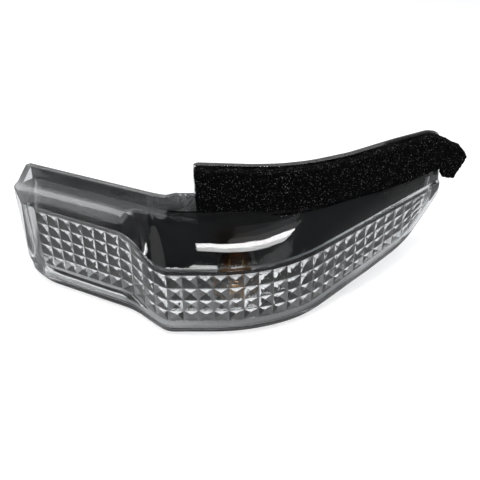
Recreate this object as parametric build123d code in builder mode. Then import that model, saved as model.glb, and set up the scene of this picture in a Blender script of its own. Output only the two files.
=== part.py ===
from build123d import *
import os
from math import pi, sin

# Indicator lamp for a door mirror: a deep clear lens with a flat wing, a stepped shoulder and a long
# swept-back tip, closed behind by a dark housing that carries the bulb holder and two screw ears.
# The front of the lamp looks along -Y, the tip points to +X and Z is up.
# The origin is the centre of the main screw hole, on the rear face of its ear.

# Rear line of the lens in plan, from the wing end to the tip
rear_points = [(-108.2, 18.3), (-31, -18), (25, -14), (101, 27)]
rear_bend_radii = [40, 60]

# Front line of the lens in plan, at its crease
front_points = [(-102.4, -7.2), (-46, -36), (-31, -48.5), (15, -48.5), (101, 21)]
front_bend_radii = [9, 8, 75]

# Line that ends the wing in plan, from its rear corner to its front corner
wing_end_points = [(-98.6, 14.3), (-102.9, 5.2), (-103.2, 2.0), (-97.2, -9.9)]
wing_end_radii = [2, 2]

# Outline of the lamp seen from the front
left_end = -103.6
left_turn_height = -4.0
left_end_bottom = -98.0
right_end = 95.0
bottom_height = -48.0
bottom_rise_start = 30.0
tip_start = 78.0
tip_bottom_height = -34.5
tip_nose_height = -15.0
left_turn_radius = 5.0
wing_bottom_radius = 14.0
rise_radius = 60.0
tip_bottom_radius = 24.0
tip_nose_radius = 5.0

# Heights along the lens
ledge_height = -4.0
rim_height = 2.0
wing_crease_height = -5.8
crease_height = -16.0
tip_crease_height = -8.5
wing_end = 57.6
shoulder_end = 79.6
tip_rise_start = 135.6
blend_length = 8.0

# Lens walls and curves
lens_wall = 2.2
rim_thickness = 2.0
wing_ledge = 2.0
ledge_past_foam = 1.0
ramp_length = 10.0
ramp_width = 3.0
top_bow = 1.6
face_bow = 2.4
wing_bow = 0.4
wing_lean = 6.0
body_lean = 1.0
full_bow_depth = 25.0

# Bead along the crease and border along the bottom of the lens, on the wing and on the body
wing_bead = (0.3, 0.1)
body_bead = (2.2, 0.7)
border_height = 8.0
border_slope = 2.0
wing_lip = 2.2
body_lip = -0.3
groove_depth = 0.6
groove_edges = (2.6, 4.2)
groove_left = -97.2

# Upright wall behind the foam strip
back_wall_height = 16.4
back_wall_start = -19.6
back_wall_end = 95.0
back_wall_start_rise = 1.8
back_wall_waves = [(5.0, 0.1), (24.0, -0.2), (48.0, -1.3), (70.0, -0.2)]
back_wall_wave_radius = 40.0
step_start = -33.0
step_slope = 5.0
step_height = 3.5
back_wall_left_radius = 1.0
back_wall_radius = 9.0

# Prisms on the inner face of the lens
prism_pitch = 6.35
prism_depth = 1.9
prism_rows = 5
crease_band = 2.2
wing_bottom_band = 9.0
body_bottom_band = 7.0
tip_bottom_band = 4.0
first_prism = 13.8
smallest_prism = 1.1
last_column_height = 6.0

# Foam strip
foam_thickness = 5.0
foam_gap = 0.2
foam_top_start = -19.4
foam_bottom_start = -18.6
foam_start_rise = 2.0
foam_middle = 24.0
foam_rise_start = 76.0
foam_end_rise = 2.0
foam_drop = 0.4
foam_tail_start = 89.5
foam_tail = [
    (99.5, 9.4),
    (103.8, 6.8),
    (108.0, 1.9),
    (108.5, 0.3),
    (102.6, -9.2),
    (98.8, -8.0),
    (95.3, -6.2),
]

# Housing
housing_depth = 13.0
housing_wall = 2.2
flange_thickness = 2.2
flange_inset = 0.8
tray_inset = 8.0
tray_start = -84.0
tray_end = 82.0

# Inner bezel in front of the housing
bezel_thickness = 1.5
bezel_gap = 0.4
bezel_end_gap = 1.6
bezel_edge_gap = 1.9
bezel_opening = 17.0

# Screw ears and the locating pin
screw_hole_diameter = 4.5
ear_width = 15.0
ear_thickness = 3.5
ear_root = -14.0
gusset_thickness = 2.0
gusset_height = 3.0
low_ear_place = (-66.0, -43.0)
pin_place = (58.0, -22.0)
pin_diameter = 5.0
pin_length = 8.0

# Bulb, its holder and the boss that it twists into
bulb_place = (-2.0, -30.0)
bulb_diameter = 15.0
bulb_glass_length = 26.0
bulb_glass_wall = 0.9
bulb_neck_diameter = 9.0
bulb_neck_length = 5.0
pinch_size = (12.5, 3.0)
pinch_length = 7.0
pinch_proud = 1.0
filament_diameter = 1.0
filament_length = 6.0
filament_place = 14.0
lead_diameter = 0.6
boss_diameter = 27.0
boss_bore = 20.0
boss_height = 4.0
holder_clearance = 0.2
holder_flange_diameter = 25.0
holder_flange_thickness = 3.0
holder_reach = 16.0
seal_thickness = 1.6
seal_width = 2.2
connector_size = (15.0, 11.0)
connector_length = 15.0
connector_wall = 1.5
connector_floor = 3.0
terminal_size = (0.8, 2.8)
terminal_length = 9.0
terminal_pitch = 6.0
lug_size = (3.0, 2.4)

# Breather cap on the back of the housing
breather_place = (-55.0, -18.0)
breather_stub_diameter = 6.0
breather_stub_height = 4.0
breather_wall = 1.5

# Construction: the cross sections of the lens, and how far cutting shapes run past it
section_count = 40
section_overlap = 3.0
end_overrun = 15.0
outline_reach = 80.0
smallest_edge = 0.01

os.makedirs("parts", exist_ok=True)


# Plan lines and the curves set out from them

with BuildLine() as rear_line:
    FilletPolyline(*rear_points, radius=rear_bend_radii)

with BuildLine() as front_line:
    FilletPolyline(*front_points, radius=front_bend_radii)

rear_wire = rear_line.wires()[0]
front_wire = front_line.wires()[0]
front_length = front_wire.length


def mitred(points, distance):
    # The same bent line, moved to its left by a distance
    vectors = [Vector(*point) for point in points]
    turns = [(b - a).normalized() for a, b in zip(vectors, vectors[1:])]
    turns = [turns[0]] + turns + [turns[-1]]
    moved = []
    for place, before, after in zip(vectors, turns, turns[1:]):
        side = (before + after).normalized().rotate(Axis.Z, 90)
        moved.append(place + side * (distance / side.dot(before.rotate(Axis.Z, 90))))
    return moved


def rear_band(near, far):
    # Strip in plan between two lines parallel to the rear line, counted positive towards the back
    first, second = [Vector(*point) for point in rear_points[:2]]
    third, last = [Vector(*point) for point in rear_points[-2:]]
    start = first + (first - second).normalized() * end_overrun
    finish = last + (last - third).normalized() * end_overrun
    long_points = [start, *rear_points[1:-1], finish]
    with BuildSketch() as band:
        with BuildLine():
            inner = FilletPolyline(
                *mitred(long_points, near), radius=[r - near for r in rear_bend_radii]
            )
            outer = FilletPolyline(
                *mitred(long_points, far), radius=[r - far for r in rear_bend_radii]
            )
            Line(inner @ 0, outer @ 0)
            Line(inner @ 1, outer @ 1)
        make_face()
    return band.sketch


def front_outline(inset):
    # Outline of the lamp seen from the front, moved in by an even distance
    with BuildSketch(Plane.XZ) as outline:
        with BuildLine():
            FilletPolyline(
                (left_end, back_wall_height + outline_reach),
                (left_end, left_turn_height),
                (left_end_bottom, bottom_height),
                (bottom_rise_start, bottom_height),
                (tip_start, tip_bottom_height),
                (right_end, tip_nose_height),
                (right_end, back_wall_height + outline_reach),
                radius=[
                    0,
                    left_turn_radius,
                    wing_bottom_radius,
                    rise_radius,
                    tip_bottom_radius,
                    tip_nose_radius,
                    0,
                ],
                close=True,
            )
        make_face()
        if inset > 0:
            offset(amount=-inset, kind=Kind.INTERSECTION)
    return outline.sketch


def wing_end_outline():
    # Plan area to the right of the line that ends the wing
    rear_corner, *_, front_corner = wing_end_points
    with BuildSketch() as outline:
        with BuildLine():
            FilletPolyline(
                (right_end + outline_reach, outline_reach),
                (rear_corner[0], outline_reach),
                *wing_end_points,
                (front_corner[0], -outline_reach),
                (right_end + outline_reach, -outline_reach),
                radius=[0, 0, 0, *wing_end_radii, 0, 0, 0],
                close=True,
            )
        make_face()
    return outline.sketch


def smooth_step(value, start, end):
    share = min(max((value - start) / (end - start), 0), 1)
    return share * share * (3 - 2 * share)


def smooth_rise(value):
    # Zero below nought and the value itself above it, with a soft bend between
    return (value + (value**2 + blend_length**2) ** 0.5) / 2


def between(travel, on_wing, on_body):
    return on_wing + bulge(travel) * (on_body - on_wing)


# Cross sections of the lens stand on lines from the rear line to the front line


def section_plane(travel):
    rear = rear_wire @ (travel / front_length)
    front = front_wire @ (travel / front_length)
    forward = (front - rear).normalized()
    return Plane(origin=rear, x_dir=forward, z_dir=forward.cross(Vector(0, 0, 1)))


def section_depth(travel):
    return ((front_wire @ (travel / front_length)) - (rear_wire @ (travel / front_length))).length


def bulge(travel):
    return smooth_step(travel, wing_end, shoulder_end)


def crease(travel):
    rise = smooth_rise(travel - tip_rise_start) / smooth_rise(front_length - tip_rise_start)
    return between(travel, wing_crease_height, crease_height) + rise * (tip_crease_height - crease_height)


def ledge(travel):
    room = smooth_rise(section_depth(travel) - 2 * rim_thickness)
    main_ledge = room - smooth_rise(room - foam_thickness - ledge_past_foam)
    return rim_thickness + between(travel, wing_ledge, main_ledge)


def face_depth(travel, height):
    # Distance from the rear line to the front face at a height
    top = crease(travel)
    share = (top - height) / (top - bottom_height)
    lean = between(travel, wing_lean, body_lean)
    fullness = bulge(travel) * min(section_depth(travel) / full_bow_depth, 1)
    bow = wing_bow + (face_bow - wing_bow) * fullness
    return section_depth(travel) - lean * share + 4 * bow * share * (1 - share)


def lens_section(travel, inset):
    # Half of one cross section that the outside shows, moved in by an even distance
    top = crease(travel)
    depth = section_depth(travel) - inset
    step = ledge(travel)
    ledge_top = ledge_height - inset
    bead_width = between(travel, wing_bead[0], body_bead[0])
    bead_lift = between(travel, wing_bead[1], body_bead[1])
    lip = between(travel, wing_lip, body_lip)
    face_top = top - inset - bead_width
    border_top = bottom_height + border_height
    border_edge = border_top - border_slope
    middle = (face_top + border_top) / 2
    slope_bow = top_bow * (depth - step) / full_bow_depth
    slope_end = (depth - bead_width, top - inset)
    face_start = (face_depth(travel, face_top) - inset, face_top)
    border_start = (face_depth(travel, border_top) - inset, border_top)
    with BuildSketch(section_plane(travel)) as section:
        with BuildLine():
            Polyline(
                (-section_overlap, rim_height - inset),
                (rim_thickness, rim_height - inset),
                (rim_thickness, ledge_top),
                (step, ledge_top),
            )
            ThreePointArc(
                (step, ledge_top),
                ((step + slope_end[0]) / 2, (ledge_top + slope_end[1]) / 2 + slope_bow),
                slope_end,
            )
            Polyline(
                slope_end,
                (slope_end[0] + bead_lift / 2, slope_end[1] + bead_lift),
                (depth, slope_end[1] + bead_lift / 2),
                (face_start[0] + bead_lift / 2, face_top + bead_lift / 2),
                face_start,
            )
            ThreePointArc(
                face_start, (face_depth(travel, middle) - inset, middle), border_start
            )
            Polyline(
                border_start,
                (face_depth(travel, border_edge) - inset + lip, border_edge),
                (face_depth(travel, bottom_height) - inset + lip, bottom_height),
                (-section_overlap, bottom_height),
                (-section_overlap, rim_height - inset),
            )
        make_face()
    return section.sketch


section_step = front_length / section_count
section_places = [count * section_step for count in range(section_count + 1)]

with BuildPart() as lens_body:
    for travel in section_places:
        add(lens_section(travel, 0))
    loft()


# Inside of the lens: a hollow whose front carries rows of four-sided prisms


def floor_height(travel):
    # Underside of the lens, which climbs towards the tip
    reach = (front_wire @ (travel / front_length)).X
    climb = (tip_bottom_height - bottom_height) / (tip_start - bottom_rise_start)
    nose_climb = (tip_nose_height - tip_bottom_height) / (right_end - tip_start) - climb
    rise = climb * max(reach - bottom_rise_start, 0) + nose_climb * max(reach - tip_start, 0)
    return bottom_height + rise


def bottom_band(travel):
    # Height of the plain band below the prisms
    narrowing = smooth_step(travel, tip_rise_start, front_length)
    tip_change = narrowing * (tip_bottom_band - body_bottom_band)
    return between(travel, wing_bottom_band, body_bottom_band) + tip_change


def prism_height(travel):
    # Height of the part of the front face that carries prisms
    return crease(travel) - crease_band - floor_height(travel) - bottom_band(travel)


def inner_ring(travel):
    # Corners of the hollow in one cross section, from the rear underside round to the rear top
    place = section_plane(travel)
    low = floor_height(travel) + lens_wall
    prism_low = floor_height(travel) + bottom_band(travel)
    prism_top = crease(travel) - crease_band
    step = ledge(travel)
    front_top = face_depth(travel, crease(travel)) - lens_wall
    slope_bow = top_bow * (section_depth(travel) - step) / full_bow_depth
    ring = [(-2 * section_overlap, low), (face_depth(travel, low) - lens_wall, low)]
    for row in range(prism_rows, 0, -1):
        share = (prism_rows - row) / (prism_rows - bulge(travel))
        height = prism_low + share * (prism_top - prism_low)
        ring.append((face_depth(travel, height) - lens_wall, height))
    ring.append((front_top, prism_top))
    ring.append(
        (
            (front_top + step) / 2,
            (prism_top + ledge_height - lens_wall) / 2 + slope_bow,
        )
    )
    ring.append((step - lens_wall / 2, ledge_height - lens_wall))
    ring.append((-2 * section_overlap, ledge_height - lens_wall))
    return [place.from_local_coords(Vector(x, y, 0)) for x, y in ring]


def facet(*corners):
    kept = [a for a, b in zip(corners, corners[1:] + corners[:1]) if (a - b).length > smallest_edge]
    return [Face(Wire.make_polygon(kept))] if len(kept) > 2 else []


def shortest_side(corners):
    return min((a - b).length for a, b in zip(corners, corners[1:] + corners[:1]))


def prism_facets(corners):
    # Four facets that rise from a cell of the grid to a peak inside the hollow
    centre = sum(corners, Vector()) / 4
    across = corners[2] - corners[0]
    inward = across.cross(corners[3] - corners[1]).normalized()
    peak = centre + inward * (prism_depth * shortest_side(corners) / prism_pitch)
    facets = []
    for a, b in zip(corners, corners[1:] + corners[:1]):
        facets += facet(a, b, peak)
    return facets


column_places = [first_prism]

while prism_height(column_places[-1]) > last_column_height:
    column_places.append(column_places[-1] + prism_pitch)
rings = [inner_ring(travel) for travel in column_places]
hollow_facets = facet(*rings[0]) + facet(*rings[-1])
for left, right in zip(rings, rings[1:]):
    for level in range(len(left) - 1):
        cell = [left[level], left[level + 1], right[level + 1], right[level]]
        is_prism = 2 <= level <= prism_rows + 1
        if is_prism and shortest_side(cell) > smallest_prism:
            hollow_facets += prism_facets(cell)
        else:
            hollow_facets += facet(cell[0], cell[1], cell[2]) + facet(cell[0], cell[2], cell[3])
    hollow_facets += facet(left[-1], left[0], right[0]) + facet(left[-1], right[0], right[-1])
hollow = Solid(Shell(hollow_facets))


def back_wall_outline(inset):
    # Upright wall behind the foam, seen from the front, with its top corner rounded at the tip
    wave_radii = [back_wall_wave_radius] * len(back_wall_waves)
    with BuildSketch(Plane.XZ) as outline:
        with BuildLine():
            FilletPolyline(
                (step_start + inset, ledge_height - lens_wall / 2),
                (step_start + inset, rim_height - inset),
                (step_start + step_slope, step_height - inset),
                (back_wall_start + inset, step_height - inset),
                (back_wall_start + inset, back_wall_height + back_wall_start_rise - inset),
                *[(x, back_wall_height + rise - inset) for x, rise in back_wall_waves],
                (back_wall_end - inset, back_wall_height - inset),
                (back_wall_end - inset, ledge_height - lens_wall / 2),
                radius=[0, 0, 0, 0, back_wall_left_radius, *wave_radii, back_wall_radius, 0],
                close=True,
            )
        make_face()
    return outline.sketch


with BuildPart() as back_wall:
    extrude(rear_band(-rim_thickness, 0), amount=outline_reach, both=True)
    extrude(back_wall_outline(0), amount=outline_reach, both=True, mode=Mode.INTERSECT)

# Ramp from the rim down to the ledge at the wing's rear corner

rear_start, rear_next = [Vector(*point) for point in rear_points[:2]]
rear_turn = (rear_next - rear_start).normalized()
ramp_plane = Plane(
    origin=Vector(*wing_end_points[0]),
    x_dir=rear_turn.rotate(Axis.Z, -90),
    z_dir=rear_turn.rotate(Axis.Z, 180),
)

with BuildPart() as ramp:
    with BuildSketch(ramp_plane):
        with BuildLine():
            Polyline(
                (-section_overlap, rim_height),
                (rim_thickness, rim_height),
                (ramp_length, ledge_height),
                (-section_overlap, ledge_height),
                close=True,
            )
        make_face()
    extrude(amount=ramp_width, both=True)


# Groove along the left end and the bottom of the wing and the body

with BuildPart() as lens_core:
    for travel in section_places:
        add(lens_section(travel, groove_depth))
    loft()


def border_outline(inset):
    with BuildSketch(Plane.XZ) as outline:
        with BuildLine():
            FilletPolyline(
                (groove_left + inset, wing_crease_height),
                (groove_left + inset, bottom_height + inset),
                (bottom_rise_start, bottom_height + inset),
                (tip_start, tip_bottom_height + inset),
                (tip_start, wing_crease_height),
                radius=[0, wing_bottom_radius, rise_radius, 0, 0],
                close=True,
            )
        make_face()
    return outline.sketch


with BuildPart() as groove:
    extrude(border_outline(groove_edges[0]), amount=outline_reach, both=True)
    extrude(border_outline(groove_edges[1]), amount=outline_reach, both=True, mode=Mode.SUBTRACT)
    add(lens_core.part, mode=Mode.SUBTRACT)

with BuildPart() as lens:
    add(lens_body.part)
    add(hollow, mode=Mode.SUBTRACT)
    add(ramp.part)
    extrude(front_outline(0), amount=outline_reach, both=True, mode=Mode.INTERSECT)
    extrude(wing_end_outline(), amount=outline_reach, both=True, mode=Mode.INTERSECT)
    add(groove.part, mode=Mode.SUBTRACT)
    extrude(
        rear_band(0, 2 * section_overlap), amount=outline_reach, both=True, mode=Mode.SUBTRACT
    )
    add(back_wall.part)

lens.part.label = "lens"
export_step(lens.part, "parts/lens.step")


# Foam strip stuck to the upright wall, with a free tail past its end

foam_near = -rim_thickness - foam_gap
foam_bottom = ledge_height + foam_gap
foam_top = back_wall_height - foam_drop

with BuildPart() as foam_strip:
    extrude(rear_band(foam_near - foam_thickness, foam_near), amount=outline_reach, both=True)
    with BuildSketch(Plane.XZ):
        with BuildLine():
            Polyline(
                (foam_middle, foam_bottom),
                (foam_bottom_start, foam_bottom + foam_start_rise),
                (foam_top_start, foam_top + back_wall_start_rise),
                *[(x, foam_top + rise) for x, rise in back_wall_waves],
                (foam_tail_start, foam_top),
                *foam_tail,
                (foam_tail[-1][0], foam_bottom + foam_end_rise),
                (foam_rise_start, foam_bottom),
                close=True,
            )
        make_face()
    extrude(amount=outline_reach, both=True, mode=Mode.INTERSECT)

foam_strip.part.label = "foam_strip"
export_step(foam_strip.part, "parts/foam_strip.step")


# Housing: a flange that closes the back of the lens and a tray behind it

bulb_x, bulb_z = bulb_place
tray_floor = housing_depth - housing_wall


def rear_depth(x):
    # Y of the rear line at an X near the middle of the lamp
    start, finish = [Vector(*point) for point in rear_points[1:3]]
    return start.Y + (x - start.X) / (finish.X - start.X) * (finish.Y - start.Y)


def tray_outline(inset):
    with BuildSketch(Plane.XZ) as outline:
        add(front_outline(inset))
        with Locations((0, ledge_height - inset + outline_reach)):
            Rectangle(4 * outline_reach, 2 * outline_reach, mode=Mode.SUBTRACT)
        with Locations(((tray_start + tray_end) / 2, 0)):
            Rectangle(
                tray_end - tray_start - 2 * inset, 4 * outline_reach, mode=Mode.INTERSECT
            )
    return outline.sketch


def rear_plane(segment, x, z):
    # Plane on the back of the tray behind one straight run of the rear line, facing backwards
    start, finish = [Vector(*point) for point in rear_points[segment : segment + 2]]
    along = (finish - start).normalized()
    backwards = along.rotate(Axis.Z, 90)
    foot = start + along * ((x - start.X) / along.X) + backwards * housing_depth
    return Plane(origin=(foot.X, foot.Y, z), x_dir=along, z_dir=backwards)


boss_back = rear_depth(bulb_x) + housing_depth + boss_height
boss_plane = Plane(origin=(bulb_x, boss_back, bulb_z), x_dir=(1, 0, 0), z_dir=(0, 1, 0))
ear_plane = Plane(origin=(0, 0, 0), x_dir=(1, 0, 0), z_dir=(0, 1, 0))
low_ear_plane = rear_plane(0, *low_ear_place)
pin_plane = rear_plane(2, *pin_place)
breather_plane = rear_plane(0, *breather_place)

with BuildPart() as flange:
    extrude(rear_band(0, flange_thickness), amount=outline_reach, both=True)
    with BuildSketch(Plane.XZ):
        add(front_outline(flange_inset))
        with Locations((0, rim_height - flange_inset + outline_reach)):
            Rectangle(4 * outline_reach, 2 * outline_reach, mode=Mode.SUBTRACT)
        add(back_wall_outline(flange_inset))
    extrude(amount=outline_reach, both=True, mode=Mode.INTERSECT)
    extrude(wing_end_outline(), amount=outline_reach, both=True, mode=Mode.INTERSECT)

with BuildPart() as tray:
    extrude(rear_band(0, housing_depth), amount=outline_reach, both=True)
    extrude(tray_outline(tray_inset), amount=outline_reach, both=True, mode=Mode.INTERSECT)

with BuildPart() as tray_hollow:
    extrude(rear_band(-section_overlap, tray_floor), amount=outline_reach, both=True)
    extrude(
        tray_outline(tray_inset + housing_wall), amount=outline_reach, both=True, mode=Mode.INTERSECT
    )

tray_top = ledge_height - tray_inset
gusset_front = rear_depth(0) + flange_thickness / 2

with BuildPart() as gussets:
    with BuildSketch(Plane.YZ):
        with BuildLine():
            Polyline(
                (gusset_front, tray_top - housing_wall / 2),
                (-ear_thickness / 2, tray_top - housing_wall / 2),
                (-ear_thickness / 2, gusset_height),
                (-ear_thickness, gusset_height),
                (gusset_front, tray_top + gusset_height),
                close=True,
            )
        make_face()
    extrude(amount=ear_width / 2, both=True)
    with BuildSketch(Plane.YZ):
        Rectangle(4 * housing_depth, 4 * housing_depth)
    extrude(amount=ear_width / 2 - gusset_thickness, both=True, mode=Mode.SUBTRACT)

with BuildPart() as housing:
    add(flange.part)
    add(tray.part)
    add(gussets.part)
    with BuildSketch(boss_plane):
        Circle(boss_diameter / 2)
    extrude(amount=-(boss_height + housing_wall))
    with BuildSketch(ear_plane):
        Circle(ear_width / 2)
        with Locations((0, -ear_root / 2)):
            Rectangle(ear_width, -ear_root)
    extrude(amount=-ear_thickness)
    with BuildSketch(low_ear_plane):
        Circle(ear_width / 2)
        with Locations((0, -ear_width / 2)):
            Rectangle(ear_width, ear_width)
    extrude(amount=-ear_thickness)
    with BuildSketch(pin_plane):
        Circle(pin_diameter / 2)
    extrude(amount=pin_length)
    with BuildSketch(breather_plane):
        Circle(breather_stub_diameter / 2)
    extrude(amount=breather_stub_height)
    add(tray_hollow.part, mode=Mode.SUBTRACT)
    with BuildSketch(boss_plane):
        Circle(boss_bore / 2)
        with PolarLocations(boss_bore / 2, 2):
            Rectangle(*lug_size)
    extrude(amount=-2 * housing_depth, mode=Mode.SUBTRACT)
    with BuildSketch(ear_plane):
        Circle(screw_hole_diameter / 2)
    extrude(amount=-ear_thickness, mode=Mode.SUBTRACT)
    with BuildSketch(low_ear_plane):
        Circle(screw_hole_diameter / 2)
    extrude(amount=-ear_thickness, mode=Mode.SUBTRACT)

housing.part.label = "housing"
export_step(housing.part, "parts/housing.step")


# Inner bezel, a dark glossy sheet on the flange with an opening for the bulb

bezel_left = section_plane(column_places[0]).origin.X + bezel_end_gap
bezel_right = section_plane(column_places[-1]).origin.X - bezel_end_gap
bezel_top = ledge_height - lens_wall - bezel_gap

with BuildPart() as inner_bezel:
    extrude(rear_band(-bezel_thickness, 0), amount=outline_reach, both=True)
    with BuildSketch(Plane.XZ):
        add(front_outline(lens_wall + bezel_edge_gap))
        with Locations(((bezel_left + bezel_right) / 2, bezel_top - outline_reach)):
            Rectangle(bezel_right - bezel_left, 2 * outline_reach, mode=Mode.INTERSECT)
        with Locations(bulb_place):
            Circle(bezel_opening / 2, mode=Mode.SUBTRACT)
    extrude(amount=outline_reach, both=True, mode=Mode.INTERSECT)

inner_bezel.part.label = "inner_bezel"
export_step(inner_bezel.part, "parts/inner_bezel.step")


# Breather cap pushed over its stub

with BuildPart() as breather_cap:
    with BuildSketch(breather_plane):
        Circle(breather_stub_diameter / 2 + breather_wall)
    extrude(amount=breather_stub_height + breather_wall)
    with BuildSketch(breather_plane):
        Circle(breather_stub_diameter / 2)
    extrude(amount=breather_stub_height, mode=Mode.SUBTRACT)

breather_cap.part.label = "breather_cap"
export_step(breather_cap.part, "parts/breather_cap.step")


# Terminals, holder and seal ring

flange_plane = boss_plane.offset(seal_thickness)
connector_plane = flange_plane.offset(holder_flange_thickness)
plug_diameter = boss_bore - 2 * holder_clearance
pocket_depth = pinch_length - pinch_proud

terminals = []
for side, name in ((-1, "left_terminal"), (1, "right_terminal")):
    with BuildPart() as terminal:
        with BuildSketch(flange_plane):
            with Locations((side * terminal_pitch / 2, 0)):
                Rectangle(*terminal_size)
        extrude(amount=holder_flange_thickness + connector_floor + terminal_length)
    terminal.part.label = name
    export_step(terminal.part, f"parts/{name}.step")
    terminals.append(terminal.part)

with BuildPart() as bulb_holder:
    with BuildSketch(flange_plane):
        Circle(holder_flange_diameter / 2)
    extrude(amount=holder_flange_thickness)
    with BuildSketch(flange_plane):
        Circle(plug_diameter / 2)
    extrude(amount=-(seal_thickness + holder_reach))
    with BuildSketch(connector_plane):
        Rectangle(*connector_size)
    extrude(amount=connector_length)
    with BuildSketch(connector_plane.offset(connector_floor)):
        Rectangle(connector_size[0] - 2 * connector_wall, connector_size[1] - 2 * connector_wall)
    extrude(amount=connector_length, mode=Mode.SUBTRACT)
    with BuildSketch(boss_plane.offset(-holder_reach)):
        Rectangle(*pinch_size)
    extrude(amount=pocket_depth, mode=Mode.SUBTRACT)
    add(terminals, mode=Mode.SUBTRACT)

bulb_holder.part.label = "bulb_holder"
export_step(bulb_holder.part, "parts/bulb_holder.step")

with BuildPart() as holder_seal:
    with BuildSketch(boss_plane):
        Circle(plug_diameter / 2 + seal_width)
        Circle(plug_diameter / 2, mode=Mode.SUBTRACT)
    extrude(amount=seal_thickness)

holder_seal.part.label = "holder_seal"
export_step(holder_seal.part, "parts/holder_seal.step")


# Wedge bulb: glass on its flat pinch, two leads and the filament between them

glass_foot = -boss_back + holder_reach + pinch_length - pocket_depth
bulb_plane = Plane(origin=(bulb_x, 0, bulb_z), x_dir=(0, -1, 0), z_dir=(1, 0, 0))
bulb_axis = Axis((bulb_x, 0, bulb_z), (0, -1, 0))


def glass_profile(inset):
    radius = bulb_diameter / 2 - inset
    neck = bulb_neck_diameter / 2 - inset
    foot = glass_foot + inset
    crown = glass_foot + bulb_glass_length - bulb_diameter / 2
    shoulder = glass_foot + bulb_neck_length
    with BuildSketch(bulb_plane) as profile:
        with BuildLine():
            Polyline((crown, 0), (foot, 0), (foot, neck))
            Spline(
                (foot, neck), (shoulder, radius), tangents=[(0.6, 0.8), (1, 0)]
            )
            Line((shoulder, radius), (crown, radius))
            ThreePointArc(
                (crown, radius), (crown + radius * sin(pi / 4), radius * sin(pi / 4)), (crown + radius, 0)
            )
            Line((crown + radius, 0), (crown, 0))
        make_face()
    return profile.sketch


with BuildPart() as bulb_glass:
    revolve(glass_profile(0), axis=bulb_axis)
    with BuildSketch(Plane(origin=(bulb_x, -glass_foot, bulb_z), x_dir=(1, 0, 0), z_dir=(0, 1, 0))):
        Rectangle(*pinch_size)
    extrude(amount=pinch_length)
    revolve(glass_profile(bulb_glass_wall), axis=bulb_axis, mode=Mode.SUBTRACT)

bulb_glass.part.label = "bulb_glass"
export_step(bulb_glass.part, "parts/bulb_glass.step")

lead_plane = Plane(
    origin=(bulb_x, -glass_foot - bulb_glass_wall, bulb_z), x_dir=(1, 0, 0), z_dir=(0, -1, 0)
)
lead_length = filament_place - bulb_glass_wall

with BuildPart() as bulb_leads:
    with BuildSketch(lead_plane):
        with GridLocations(filament_length, 0, 2, 1):
            Circle(lead_diameter / 2)
    extrude(amount=lead_length)

bulb_leads.part.label = "bulb_leads"
export_step(bulb_leads.part, "parts/bulb_leads.step")

filament_start = bulb_x - (filament_length - lead_diameter) / 2
with BuildPart() as filament:
    with BuildSketch(
        Plane(
            origin=(filament_start, -glass_foot - filament_place + filament_diameter, bulb_z),
            x_dir=(0, 1, 0),
            z_dir=(1, 0, 0),
        )
    ):
        Circle(filament_diameter / 2)
    extrude(amount=filament_length - lead_diameter)

filament.part.label = "filament"
export_step(filament.part, "parts/filament.step")
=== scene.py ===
import bpy
import bmesh
from math import radians
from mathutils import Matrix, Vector, noise


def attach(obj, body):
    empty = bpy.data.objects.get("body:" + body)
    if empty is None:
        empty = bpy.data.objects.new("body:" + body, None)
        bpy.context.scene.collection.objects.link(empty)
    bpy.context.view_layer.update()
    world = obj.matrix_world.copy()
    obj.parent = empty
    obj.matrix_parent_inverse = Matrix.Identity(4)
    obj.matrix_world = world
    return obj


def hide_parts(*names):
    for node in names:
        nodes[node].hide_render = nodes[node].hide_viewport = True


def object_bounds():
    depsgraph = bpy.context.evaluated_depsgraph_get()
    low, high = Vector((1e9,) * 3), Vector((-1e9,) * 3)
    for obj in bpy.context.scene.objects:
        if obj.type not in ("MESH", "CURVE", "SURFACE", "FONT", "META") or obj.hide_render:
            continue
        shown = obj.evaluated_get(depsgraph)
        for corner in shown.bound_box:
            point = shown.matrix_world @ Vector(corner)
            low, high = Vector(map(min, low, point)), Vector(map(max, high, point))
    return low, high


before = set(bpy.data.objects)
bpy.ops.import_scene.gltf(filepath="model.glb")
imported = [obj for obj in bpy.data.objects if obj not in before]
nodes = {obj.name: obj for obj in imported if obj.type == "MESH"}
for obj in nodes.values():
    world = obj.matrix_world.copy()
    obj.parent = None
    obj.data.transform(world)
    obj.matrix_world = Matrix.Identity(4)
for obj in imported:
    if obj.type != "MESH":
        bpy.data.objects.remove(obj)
cadBox = [list(corner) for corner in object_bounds()]
scene = bpy.context.scene
print("frame loaded:", len(nodes), "nodes")

# Camera at the photograph's angle
cameraSettings = {
    "place": (0.0, -0.2918, 0.1581),
    "tilt": 57.0,
    "lens": 55.0,
    "sensor": 36.0,
    "nearest": 0.01,
}

cameraData = bpy.data.cameras.new("photoCamera")
cameraData.lens = cameraSettings["lens"]
cameraData.sensor_width = cameraSettings["sensor"]
cameraData.clip_start = cameraSettings["nearest"]
camera = bpy.data.objects.new("photoCamera", cameraData)
camera.location = cameraSettings["place"]
camera.rotation_euler = (radians(cameraSettings["tilt"]), 0.0, 0.0)
scene.collection.objects.link(camera)
scene.camera = camera
print("camera placed")


# Small helpers for node trees, materials and pieces
def setSockets(node, values):
    for name, value in values.items():
        node.inputs[name].default_value = value


def addNode(tree, kind, place, **settings):
    node = tree.nodes.new(kind)
    node.location = place
    for name, value in settings.items():
        if name in node.inputs:
            node.inputs[name].default_value = value
        else:
            setattr(node, name, value)  # a choice of the node itself, such as its operation
    return node


def addLevels(tree, place, fromRange=(0.0, 1.0), toRange=(0.0, 1.0), **settings):
    node = addNode(tree, "ShaderNodeMapRange", place, **settings)
    setSockets(node, {"From Min": fromRange[0], "From Max": fromRange[1]})
    setSockets(node, {"To Min": toRange[0], "To Max": toRange[1]})
    return node


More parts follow.
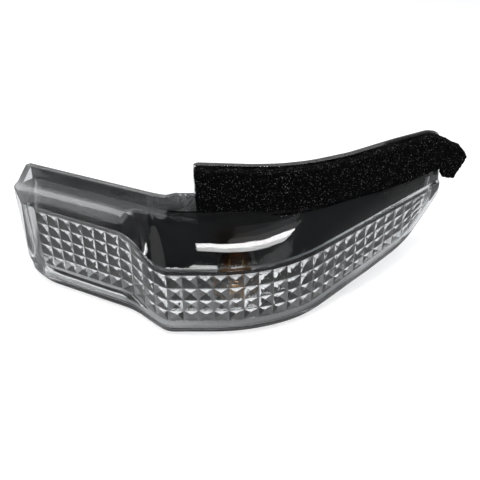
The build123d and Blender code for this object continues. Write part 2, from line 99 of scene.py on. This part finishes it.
def addColorMix(tree, place, firstColor, secondColor):
    node = addNode(tree, "ShaderNodeMix", place, data_type="RGBA")
    setSockets(node, {"A": (*firstColor, 1.0), "B": (*secondColor, 1.0)})
    return node


def connect(tree, *wires):
    # A wire names the node it leaves, the output, the node it reaches and the input
    for start, output, end, socket in wires:
        tree.links.new(start.outputs[output], end.inputs[socket])


def newMaterial(name):
    material = bpy.data.materials.new(name)
    material.use_nodes = True
    tree = material.node_tree
    return material, tree, tree.nodes["Principled BSDF"]


def dress(piece, *materials):
    piece.data.materials.clear()
    for material in materials:
        piece.data.materials.append(material)


def smoothCopy(nodeName, pieceName, sharpAngle, mergeReach=0.000002):
    # The node's own shape as a merged mesh, so that its curved faces shade smoothly
    shape = bmesh.new()
    shape.from_mesh(nodes[nodeName].data)
    bmesh.ops.remove_doubles(shape, verts=shape.verts, dist=mergeReach)
    mesh = bpy.data.meshes.new(pieceName)
    shape.to_mesh(mesh)
    shape.free()
    for name in [layer.name for layer in mesh.attributes if layer.name == "custom_normal"]:
        mesh.attributes.remove(mesh.attributes[name])
    mesh.shade_smooth()
    mesh.set_sharp_from_angle(angle=radians(sharpAngle))
    piece = bpy.data.objects.new(pieceName, mesh)
    scene.collection.objects.link(piece)
    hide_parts(nodeName)
    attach(piece, "root")
    return piece


# Moulded skin: fine grain and faint flow marks, shared by every opaque plastic and rubber here
mouldSettings = {
    "inputs": {
        "Grain Scale": 900.0,
        "Flow Scale": 40.0,
        "Rough Low": 0.2,
        "Rough High": 0.4,
        "Bump Strength": 0.1,
    },
    "outputs": {"Roughness": "NodeSocketFloat", "Normal": "NodeSocketVector", "Mask": "NodeSocketFloat"},
    "flowRange": (0.35, 0.7),
    "grainHeight": 0.0001,
}


def buildMouldSkin():
    group = bpy.data.node_groups.new("mouldSkin", "ShaderNodeTree")
    for name, start in mouldSettings["inputs"].items():
        socket = group.interface.new_socket(name=name, in_out="INPUT", socket_type="NodeSocketFloat")
        socket.default_value = start
    for name, kind in mouldSettings["outputs"].items():
        group.interface.new_socket(name=name, in_out="OUTPUT", socket_type=kind)
    inside = addNode(group, "NodeGroupInput", (-900, 0))
    outside = addNode(group, "NodeGroupOutput", (400, 0))
    coords = addNode(group, "ShaderNodeTexCoord", (-900, -300))
    grain = addNode(group, "ShaderNodeTexNoise", (-600, 200), Detail=3.0)
    flow = addNode(group, "ShaderNodeTexNoise", (-600, -100), Detail=4.0, Distortion=0.6)
    levels = addLevels(group, (-300, -100), mouldSettings["flowRange"])
    bump = addNode(group, "ShaderNodeBump", (100, 200), Distance=mouldSettings["grainHeight"])
    connect(
        group,
        (coords, "Object", grain, "Vector"),
        (coords, "Object", flow, "Vector"),
        (inside, "Grain Scale", grain, "Scale"),
        (inside, "Flow Scale", flow, "Scale"),
        (flow, "Fac", levels, "Value"),
        (inside, "Rough Low", levels, "To Min"),
        (inside, "Rough High", levels, "To Max"),
        (grain, "Fac", bump, "Height"),
        (inside, "Bump Strength", bump, "Strength"),
        (levels, "Result", outside, "Roughness"),
        (bump, "Normal", outside, "Normal"),
        (flow, "Fac", outside, "Mask"),
    )
    return group


mouldSkin = buildMouldSkin()


def buildMouldedMaterial(name, finish):
    material, tree, shader = newMaterial(name)
    skin = addNode(tree, "ShaderNodeGroup", (-500, 0), node_tree=mouldSkin)
    setSockets(skin, finish["skin"])
    colors = addColorMix(tree, (-250, 200), finish["dark"], finish["light"])
    connect(
        tree,
        (skin, "Mask", colors, "Factor"),
        (colors, "Result", shader, "Base Color"),
        (skin, "Roughness", shader, "Roughness"),
        (skin, "Normal", shader, "Normal"),
    )
    setSockets(shader, finish["shader"])
    return material


# Clear lens
lensSettings = {
    "tint": (0.88, 0.895, 0.9),
    "refraction": 1.49,
    "sharpAngle": 22.0,
    "edgeRadius": 0.0004,
    "edgeSamples": 6,
    "waviness": 0.06,
    "waveScale": 55.0,
    "waveHeight": 0.0004,
    "scuffScale": 300.0,
    "scuffRange": (0.55, 0.75),
    "scuffShare": 0.3,
    "skins": {
        "clearLens": {"rough": (0.0, 0.05), "shine": 1.0, "clearness": 1.0},
        # innerCeiling and wingCeiling take painted shade: shine below 1 dims the reflections on the inner
        # faces that look down on the bezel
        "innerCeiling": {"rough": (0.0, 0.05), "shine": 0.1, "clearness": 1.0},
        "softEnd": {"rough": (0.16, 0.26), "shine": 1.0, "clearness": 0.93},
        "wingCeiling": {"rough": (0.2, 0.3), "shine": 0.6, "clearness": 1.0},
        "hazyRim": {"rough": (0.08, 0.16), "shine": 1.0, "clearness": 0.93},
    },
    "softEndX": -0.0905,  # places where one skin gives way to another, x along the lamp and z upwards
    "ceilingZ": -0.021,
    "ceilingTurn": -0.6,  # how far a face looks up, from -1 to 1
    "bodyStartX": -0.04,
    "bodyEndX": 0.055,
    "rimZ": -0.0045,
    "rimTurn": 0.3,
    "rimEndX": -0.032,
}


def buildLensMaterial(name, skin):
    material, tree, shader = newMaterial(name)
    coords = addNode(tree, "ShaderNodeTexCoord", (-1100, 0))
    waves = addNode(tree, "ShaderNodeTexNoise", (-850, -200), Scale=lensSettings["waveScale"], Detail=2.0)
    scuffs = addNode(
        tree, "ShaderNodeTexNoise", (-850, 100), Scale=lensSettings["scuffScale"], Detail=6.0, Roughness=0.7
    )
    rough = addLevels(tree, (-550, 100), lensSettings["scuffRange"], skin["rough"])
    height = addNode(tree, "ShaderNodeMath", (-550, -150), operation="MULTIPLY_ADD")
    height.inputs[1].default_value = lensSettings["scuffShare"]
    edges = addNode(
        tree, "ShaderNodeBevel", (-550, -400),
        samples=lensSettings["edgeSamples"], Radius=lensSettings["edgeRadius"],
    )
    bump = addNode(
        tree, "ShaderNodeBump", (-300, -200),
        Strength=lensSettings["waviness"], Distance=lensSettings["waveHeight"],
    )
    connect(
        tree,
        (coords, "Object", waves, "Vector"),
        (coords, "Object", scuffs, "Vector"),
        (scuffs, "Fac", rough, "Value"),
        (rough, "Result", shader, "Roughness"),
        (scuffs, "Fac", height, 0),
        (waves, "Fac", height, 2),
        (height, "Value", bump, "Height"),
        (edges, "Normal", bump, "Normal"),
        (bump, "Normal", shader, "Normal"),
    )
    # Specular Tint carries the shine, which is painted shade on the reflections where it is below 1
    setSockets(shader, {
        "Base Color": (*lensSettings["tint"], 1.0),
        "Transmission Weight": skin["clearness"],
        "IOR": lensSettings["refraction"],
        "Specular Tint": (skin["shine"], skin["shine"], skin["shine"], 1.0),
    })
    return material


def chooseLensSkin(center, normal):
    # The ceiling is the inner face that looks down on the bezel, and the rim looks up over the wing. The
    # ceiling skins carry painted shade that dims their reflections.
    isCeiling = normal.z < lensSettings["ceilingTurn"] and center.z > lensSettings["ceilingZ"]
    isRim = normal.z > lensSettings["rimTurn"] and center.z > lensSettings["rimZ"]
    if center.x < lensSettings["softEndX"]:
        return "softEnd"
    if isCeiling and center.x < lensSettings["bodyStartX"]:
        return "wingCeiling"
    if isCeiling and center.x < lensSettings["bodyEndX"]:
        return "innerCeiling"
    if isRim and center.x < lensSettings["rimEndX"]:
        return "hazyRim"
    return "clearLens"


lens = smoothCopy("lens", "clearLens", lensSettings["sharpAngle"])
dress(lens, *[buildLensMaterial(name, skin) for name, skin in lensSettings["skins"].items()])
skinNames = list(lensSettings["skins"])
for polygon in lens.data.polygons:
    polygon.material_index = skinNames.index(chooseLensSkin(polygon.center, polygon.normal))
print("lens dressed:", len(lens.data.polygons), "faces")

# Dark housing
housingSettings = {
    "sharpAngle": 30.0,
    "dark": (0.018, 0.018, 0.019),
    "light": (0.032, 0.032, 0.034),
    "skin": {
        "Grain Scale": 1400.0, "Flow Scale": 35.0,
        "Rough Low": 0.22, "Rough High": 0.42, "Bump Strength": 0.12,
    },
    "shader": {"IOR": 1.5, "Specular IOR Level": 0.75},
}

housing = smoothCopy("housing", "darkHousing", housingSettings["sharpAngle"])
dress(housing, buildMouldedMaterial("housingBlack", housingSettings))
print("housing dressed")

# Glossy black bezel behind the lens
bezelSettings = {
    "sharpAngle": 30.0,
    "dark": (0.004, 0.004, 0.005),
    "light": (0.008, 0.008, 0.009),
    "skin": {
        "Grain Scale": 1400.0, "Flow Scale": 30.0,
        "Rough Low": 0.1, "Rough High": 0.25, "Bump Strength": 0.08,
    },
    "shader": {"IOR": 1.5, "Specular IOR Level": 0.15},
}

bezel = smoothCopy("inner_bezel", "innerBezel", bezelSettings["sharpAngle"])
dress(bezel, buildMouldedMaterial("bezelBlack", bezelSettings))
print("bezel dressed")

# Foam strip, with open cells pressed into an even mesh
foamSettings = {
    "sharpAngle": 40.0,
    "voxel": 0.0005,
    "cellSize": 0.0011,
    "cellDepth": 0.00055,
    "cellSteepness": 2.2,
    "rollCells": 7.0,  # cells to one slow roll of the surface
    "rollDepth": 0.00035,
    "speckScale": 1500.0,
    "speckRange": (0.63, 0.74),
    "poreScale": 2600.0,
    "poreStrength": 0.8,
    "poreHeight": 0.0003,
    "dark": (0.0012, 0.0012, 0.0013),
    "light": (0.1, 0.1, 0.104),
    "shader": {"Roughness": 0.9, "Specular IOR Level": 0.05},
}


def buildFoam():
    piece = smoothCopy("foam_strip", "openFoam", foamSettings["sharpAngle"])
    remesh = piece.modifiers.new("evenMesh", "REMESH")
    remesh.mode = "VOXEL"
    remesh.voxel_size = foamSettings["voxel"]
    evaluated = piece.evaluated_get(bpy.context.evaluated_depsgraph_get())
    mesh = bpy.data.meshes.new_from_object(evaluated)
    piece.modifiers.clear()
    piece.data = mesh
    cellSize = foamSettings["cellSize"]
    rollSize = cellSize * foamSettings["rollCells"]
    moves = []
    for vertex in mesh.vertices:
        nearest, _ = noise.voronoi(vertex.co / cellSize, distance_metric="DISTANCE")
        cell = min((nearest[1] - nearest[0]) * foamSettings["cellSteepness"], 1.0)
        roll = noise.noise(vertex.co / rollSize)
        outward = -foamSettings["cellDepth"] * cell + foamSettings["rollDepth"] * roll
        moves.append(vertex.normal * outward)
    for vertex, move in zip(mesh.vertices, moves):
        vertex.co += move
    mesh.shade_smooth()
    return piece


def buildFoamMaterial():
    material, tree, shader = newMaterial("openFoam")
    coords = addNode(tree, "ShaderNodeTexCoord", (-1100, 0))
    cells = addNode(tree, "ShaderNodeTexNoise", (-850, 100), Scale=foamSettings["speckScale"], Detail=1.0)
    pores = addNode(tree, "ShaderNodeTexNoise", (-850, -200), Scale=foamSettings["poreScale"], Detail=3.0)
    specks = addLevels(tree, (-550, 100), foamSettings["speckRange"])
    colors = addColorMix(tree, (-300, 200), foamSettings["dark"], foamSettings["light"])
    bump = addNode(
        tree, "ShaderNodeBump", (-300, -200),
        Strength=foamSettings["poreStrength"], Distance=foamSettings["poreHeight"],
    )
    connect(
        tree,
        (coords, "Object", cells, "Vector"),
        (coords, "Object", pores, "Vector"),
        (cells, "Fac", specks, "Value"),
        (specks, "Result", colors, "Factor"),
        (colors, "Result", shader, "Base Color"),
        (pores, "Fac", bump, "Height"),
        (bump, "Normal", shader, "Normal"),
    )
    setSockets(shader, foamSettings["shader"])
    return material


foam = buildFoam()
dress(foam, buildFoamMaterial())
print("foam strip made:", len(foam.data.polygons), "faces")

# Bulb with amber glass
bulbSettings = {
    "sharpAngle": 35.0,
    "amber": (0.75, 0.42, 0.12),
    "refraction": 1.5,
    "clearness": 1.0,
    "roughness": 0.02,
    "streakScale": 160.0,
    "streakStrength": 0.15,
    "streakHeight": 0.0004,
}

# Bare metal of the bulb's wires and of the plug's blades
metalSettings = {
    "markScale": 700.0,
    "roughShares": (0.7, 1.5),
    "darkShare": 0.8,
    "pieces": {
        "bulb_leads": {"name": "leadWire", "color": (0.62, 0.6, 0.57), "roughness": 0.3},
        "filament": {"name": "tungsten", "color": (0.3, 0.3, 0.31), "roughness": 0.4},
        "left_terminal": {"name": "terminalBrass", "color": (0.75, 0.56, 0.27), "roughness": 0.25},
        "right_terminal": {"name": "terminalBrassRight", "color": (0.75, 0.56, 0.27), "roughness": 0.25},
    },
}


def buildAmberGlass():
    material, tree, shader = newMaterial("amberGlass")
    coords = addNode(tree, "ShaderNodeTexCoord", (-900, 0))
    streaks = addNode(tree, "ShaderNodeTexNoise", (-650, 0), Scale=bulbSettings["streakScale"], Detail=2.0)
    bump = addNode(
        tree, "ShaderNodeBump", (-300, -200),
        Strength=bulbSettings["streakStrength"], Distance=bulbSettings["streakHeight"],
    )
    connect(
        tree,
        (coords, "Object", streaks, "Vector"),
        (streaks, "Fac", bump, "Height"),
        (bump, "Normal", shader, "Normal"),
    )
    setSockets(shader, {
        "Base Color": (*bulbSettings["amber"], 1.0),
        "Transmission Weight": bulbSettings["clearness"],
        "IOR": bulbSettings["refraction"],
        "Roughness": bulbSettings["roughness"],
    })
    return material


def buildMetalMaterial(name, color, roughness):
    material, tree, shader = newMaterial(name)
    coords = addNode(tree, "ShaderNodeTexCoord", (-1100, 0))
    marks = addNode(tree, "ShaderNodeTexNoise", (-850, 0), Scale=metalSettings["markScale"], Detail=5.0)
    levels = addLevels(
        tree, (-550, 0), toRange=[roughness * share for share in metalSettings["roughShares"]]
    )
    darkColor = [part * metalSettings["darkShare"] for part in color]
    colors = addColorMix(tree, (-300, 200), darkColor, color)
    connect(
        tree,
        (coords, "Object", marks, "Vector"),
        (marks, "Fac", levels, "Value"),
        (levels, "Result", shader, "Roughness"),
        (marks, "Fac", colors, "Factor"),
        (colors, "Result", shader, "Base Color"),
    )
    setSockets(shader, {"Metallic": 1.0})
    return material


bulbGlass = smoothCopy("bulb_glass", "amberBulb", bulbSettings["sharpAngle"])
dress(bulbGlass, buildAmberGlass())
for nodeName, metal in metalSettings["pieces"].items():
    dress(nodes[nodeName], buildMetalMaterial(**metal))
print("bulb and blades dressed")

# Holder, seal and breather cap
rearSettings = {
    "bulb_holder": {
        "material": "holderBlack",
        "dark": (0.012, 0.012, 0.013),
        "light": (0.022, 0.022, 0.023),
        "skin": {
            "Grain Scale": 1100.0, "Flow Scale": 60.0,
            "Rough Low": 0.4, "Rough High": 0.6, "Bump Strength": 0.25,
        },
        "shader": {"IOR": 1.5},
    },
    "holder_seal": {
        "material": "sealRubber",
        "dark": (0.012, 0.012, 0.012),
        "light": (0.025, 0.025, 0.026),
        "skin": {
            "Grain Scale": 900.0, "Flow Scale": 90.0,
            "Rough Low": 0.55, "Rough High": 0.75, "Bump Strength": 0.3,
        },
        "shader": {"IOR": 1.45},
    },
    "breather_cap": {
        "material": "capRubber",
        "dark": (0.012, 0.012, 0.013),
        "light": (0.03, 0.03, 0.031),
        "skin": {
            "Grain Scale": 900.0, "Flow Scale": 90.0,
            "Rough Low": 0.5, "Rough High": 0.7, "Bump Strength": 0.3,
        },
        "shader": {"IOR": 1.45},
    },
}

for nodeName, finish in rearSettings.items():
    dress(nodes[nodeName], buildMouldedMaterial(finish["material"], finish))
print("rear pieces dressed")

# Floor
floorSettings = {
    "size": 4.0,
    "drop": 0.0002,
    "color": (0.52, 0.52, 0.525),
    "darkShare": 0.985,
    "grainScale": 30.0,
    "cameraLift": 0.62,  # added brightness as the camera sees it
    "glassLift": 0.27,  # added brightness in reflections and through glass
    "shadeMiddle": (0.0, -0.008),  # painted shade: an ellipse under the lamp without that last brightness
    "shadeReach": (0.06, 0.034),
    "shadeEdge": (0.75, 1.1),
    "shader": {"Roughness": 0.9, "Specular IOR Level": 0.1, "Emission Color": (1.0, 1.0, 1.0, 1.0)},
}


def buildFloorMaterial():
    material, tree, shader = newMaterial("paleFloor")
    middle = floorSettings["shadeMiddle"]
    reach = floorSettings["shadeReach"]
    coords = addNode(tree, "ShaderNodeTexCoord", (-900, 0))
    grain = addNode(tree, "ShaderNodeTexNoise", (-700, 0), Scale=floorSettings["grainScale"], Detail=4.0)
    darkColor = [part * floorSettings["darkShare"] for part in floorSettings["color"]]
    colors = addColorMix(tree, (-400, 200), floorSettings["color"], darkColor)
    path = addNode(tree, "ShaderNodeLightPath", (-900, -300))
    byGlass = addNode(tree, "ShaderNodeMath", (-650, -300), operation="MAXIMUM")
    glassLift = addNode(tree, "ShaderNodeMath", (-450, -300), operation="MULTIPLY")
    glassLift.inputs[1].default_value = floorSettings["glassLift"]
    # Painted shade under the lamp: the glass lift fades out in this ellipse, so the floor seen through
    # glass and in reflections is darker there
    ellipse = addNode(
        tree, "ShaderNodeMapping", (-900, -700),
        Location=(-middle[0] / reach[0], -middle[1] / reach[1], 0.0),
        Scale=(1.0 / reach[0], 1.0 / reach[1], 0.0),
    )
    distance = addNode(tree, "ShaderNodeVectorMath", (-700, -700), operation="LENGTH")
    unshaded = addLevels(
        tree, (-500, -700), floorSettings["shadeEdge"], interpolation_type="SMOOTHSTEP"
    )
    shadedLift = addNode(tree, "ShaderNodeMath", (-350, -400), operation="MULTIPLY")
    cameraLift = addNode(tree, "ShaderNodeMath", (-450, -500), operation="MULTIPLY")
    cameraLift.inputs[1].default_value = floorSettings["cameraLift"]
    lift = addNode(tree, "ShaderNodeMath", (-250, -300), operation="ADD")
    connect(
        tree,
        (coords, "Object", grain, "Vector"),
        (grain, "Fac", colors, "Factor"),
        (colors, "Result", shader, "Base Color"),
        (path, "Is Glossy Ray", byGlass, 0),
        (path, "Is Transmission Ray", byGlass, 1),
        (byGlass, "Value", glassLift, 0),
        (coords, "Object", ellipse, "Vector"),
        (ellipse, "Vector", distance, 0),
        (distance, "Value", unshaded, "Value"),
        (glassLift, "Value", shadedLift, 0),
        (unshaded, "Result", shadedLift, 1),
        (path, "Is Camera Ray", cameraLift, 0),
        (shadedLift, "Value", lift, 0),
        (cameraLift, "Value", lift, 1),
        (lift, "Value", shader, "Emission Strength"),
    )
    setSockets(shader, floorSettings["shader"])
    return material


def buildFloor():
    height = cadBox[0][2] - floorSettings["drop"]
    shape = bmesh.new()
    bmesh.ops.create_grid(shape, x_segments=1, y_segments=1, size=floorSettings["size"] / 2)
    bmesh.ops.translate(shape, verts=shape.verts, vec=Vector((0.0, 0.0, height)))
    mesh = bpy.data.meshes.new("paleFloor")
    shape.to_mesh(mesh)
    shape.free()
    mesh.materials.append(buildFloorMaterial())
    piece = bpy.data.objects.new("paleFloor", mesh)
    scene.collection.objects.link(piece)
    return piece


floor = buildFloor()
print("floor laid")

# World, white to the camera and soft grey as light
worldSettings = {
    "shown": (1.0, 1.0, 1.0),
    "light": (0.34, 0.35, 0.37),
    "above": (0.03, 0.03, 0.033),  # overhead, in reflections and through glass
    "side": (0.42, 0.42, 0.42),  # low down, in reflections and through glass
    "rise": (0.15, 0.65),  # the height, from 0 to 1, over which one turns into the other
}


def buildWorld():
    world = bpy.data.worlds.new("studioWorld")
    world.use_nodes = True
    tree = world.node_tree
    tree.nodes.clear()
    output = addNode(tree, "ShaderNodeOutputWorld", (700, 0))
    coords = addNode(tree, "ShaderNodeTexCoord", (-900, 0))
    split = addNode(tree, "ShaderNodeSeparateXYZ", (-700, 0))
    rise = addLevels(tree, (-500, 0), worldSettings["rise"], interpolation_type="SMOOTHSTEP")
    colors = addColorMix(tree, (-250, 0), worldSettings["side"], worldSettings["above"])
    path = addNode(tree, "ShaderNodeLightPath", (-500, 400))
    byGlass = addNode(tree, "ShaderNodeMath", (-250, 300), operation="MAXIMUM")
    light = addNode(tree, "ShaderNodeBackground", (100, -200), Color=(*worldSettings["light"], 1.0))
    inGlass = addNode(tree, "ShaderNodeBackground", (100, 0))
    shown = addNode(tree, "ShaderNodeBackground", (100, 200), Color=(*worldSettings["shown"], 1.0))
    glassMix = addNode(tree, "ShaderNodeMixShader", (300, -100))
    cameraMix = addNode(tree, "ShaderNodeMixShader", (500, 0))
    connect(
        tree,
        (coords, "Generated", split, "Vector"),
        (split, "Z", rise, "Value"),
        (rise, "Result", colors, "Factor"),
        (colors, "Result", inGlass, "Color"),
        (path, "Is Glossy Ray", byGlass, 0),
        (path, "Is Transmission Ray", byGlass, 1),
        (byGlass, "Value", glassMix, "Fac"),
        (light, "Background", glassMix, 1),
        (inGlass, "Background", glassMix, 2),
        (path, "Is Camera Ray", cameraMix, "Fac"),
        (glassMix, "Shader", cameraMix, 1),
        (shown, "Background", cameraMix, 2),
        (cameraMix, "Shader", output, "Surface"),
    )
    return world


scene.world = buildWorld()

# Lamps, where the top strips make the long highlight and the fades let it run out behind
lampSettings = {
    "topStripNear": {"at": (0.124, -0.128, 0.62), "turn": (0, 0, 0), "size": (0.355, 0.044), "power": 0.6},
    "topStripFar": {"at": (0.124, -0.083, 0.62), "turn": (0, 0, 0), "size": (0.355, 0.046), "power": 1.25},
    "fadeNear": {"at": (0.17, -0.03, 0.62), "turn": (0, 0, 0), "size": (0.26, 0.06), "power": 0.045},
    "fadeMiddle": {"at": (0.15, 0.03, 0.62), "turn": (0, 0, 0), "size": (0.2, 0.06), "power": 0.016},
    "fadeFar": {"at": (0.1, 0.1, 0.62), "turn": (0, 0, 0), "size": (0.12, 0.08), "power": 0.006},
    "rearStrip": {"at": (-0.2, 0.5, 0.4), "turn": (-53, 0, 0), "size": (0.42, 0.13), "power": 0.55},
    "rimGlow": {"at": (-0.1, 0.5, 0.265), "turn": (-62, 0, 0), "size": (0.5, 0.1), "power": 0.13},
    "edgeLight": {"at": (-0.05, -0.38, 0.62), "turn": (30, 0, 0), "size": (0.6, 0.12), "power": 2.6},
    "leftSoftbox": {"at": (-0.6, -0.25, 0.45), "turn": (0, -53, 0), "size": (0.7, 0.9), "power": 1.3},
    "frontSoftbox": {"at": (0.35, -0.7, 0.45), "turn": (57, 0, 27), "size": (1.0, 0.6), "power": 1.5},
}

for name, settings in lampSettings.items():
    lampData = bpy.data.lights.new(name, "AREA")
    lampData.shape = "RECTANGLE"
    lampData.size, lampData.size_y = settings["size"]
    lampData.energy = settings["power"]
    lamp = bpy.data.objects.new(name, lampData)
    lamp.location = settings["at"]
    lamp.rotation_euler = [radians(angle) for angle in settings["turn"]]
    scene.collection.objects.link(lamp)

scene.view_settings.view_transform = "Standard"
print("studio lit")

print("finished")
